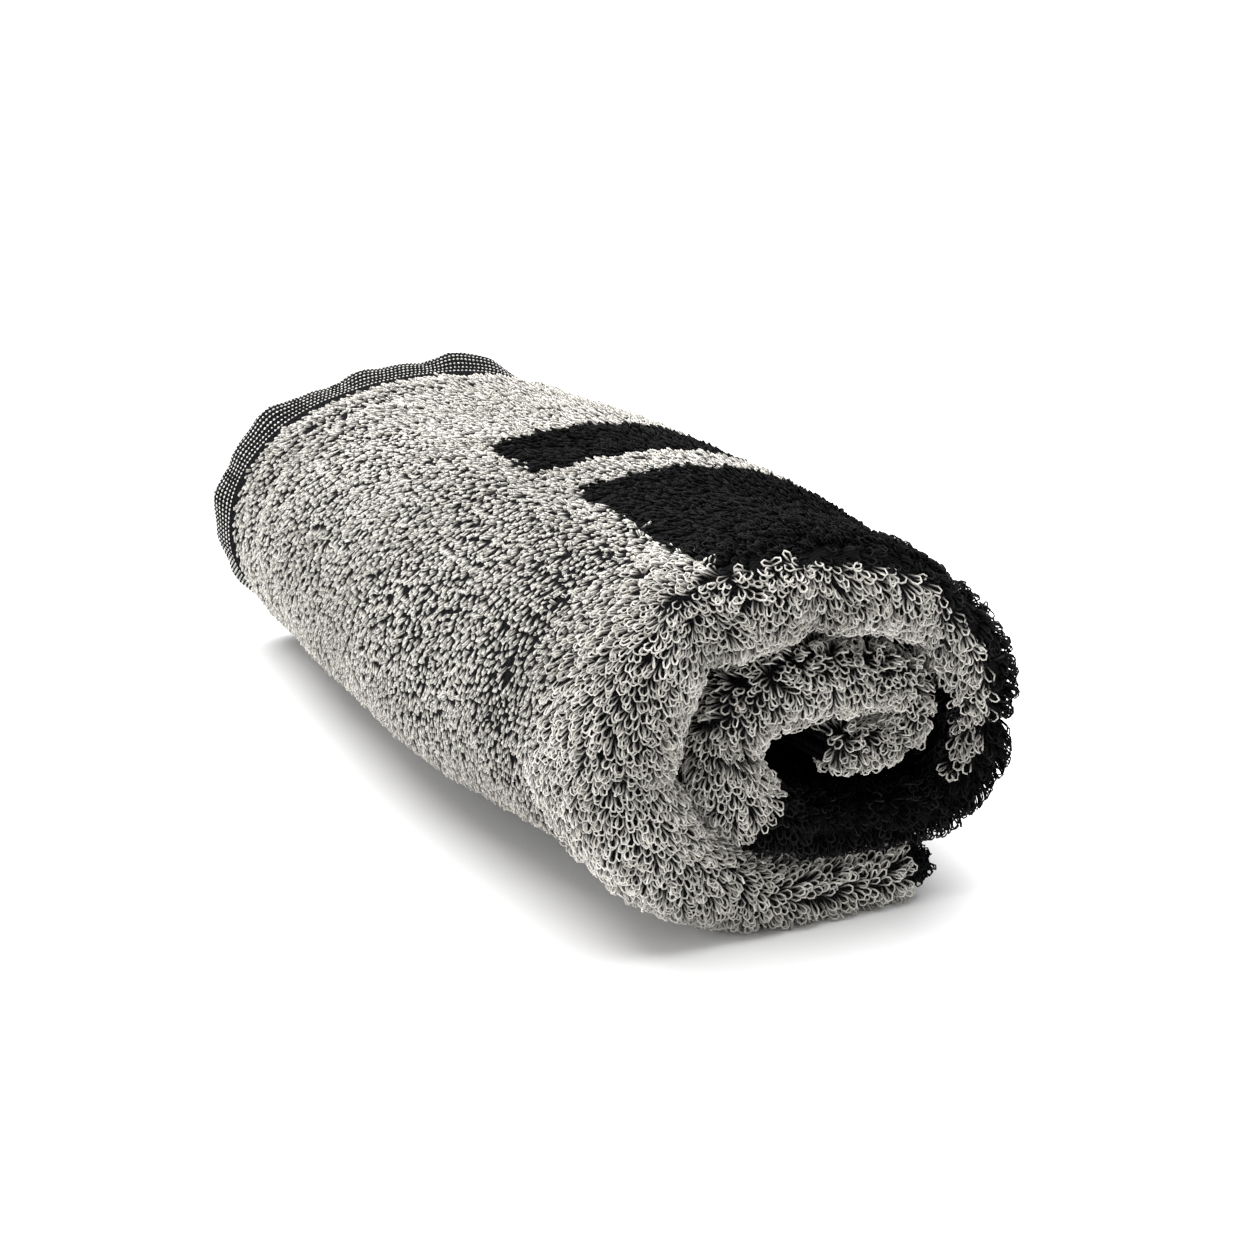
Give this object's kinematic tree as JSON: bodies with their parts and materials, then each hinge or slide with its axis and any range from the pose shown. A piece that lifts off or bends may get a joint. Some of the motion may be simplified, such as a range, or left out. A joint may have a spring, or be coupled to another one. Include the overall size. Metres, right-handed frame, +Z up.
{
  "type": "rolled terry sports towel",
  "caption": "Grey and black terry sports towel, folded in half twice and wound into a roll that lies on a surface, with a woven hem at one end.",
  "frame": {"origin": "on the surface the roll lies on, under the middle of its box", "axes": "+X along the roll towards its folded end, +Z up, +Y to the side of the loose end"},
  "size_m": [0.2504, 0.1251, 0.0938],
  "materials": {
    "terry_grey": "looped cotton pile, light grey yarn over a dark ground",
    "terry_black": "looped cotton pile, black yarn",
    "woven_hem": "flat woven hem, black with off-white dots"
  },
  "bodies": {
    "root": {"towel_roll": "terry_grey"}
  },
  "joints": []
}
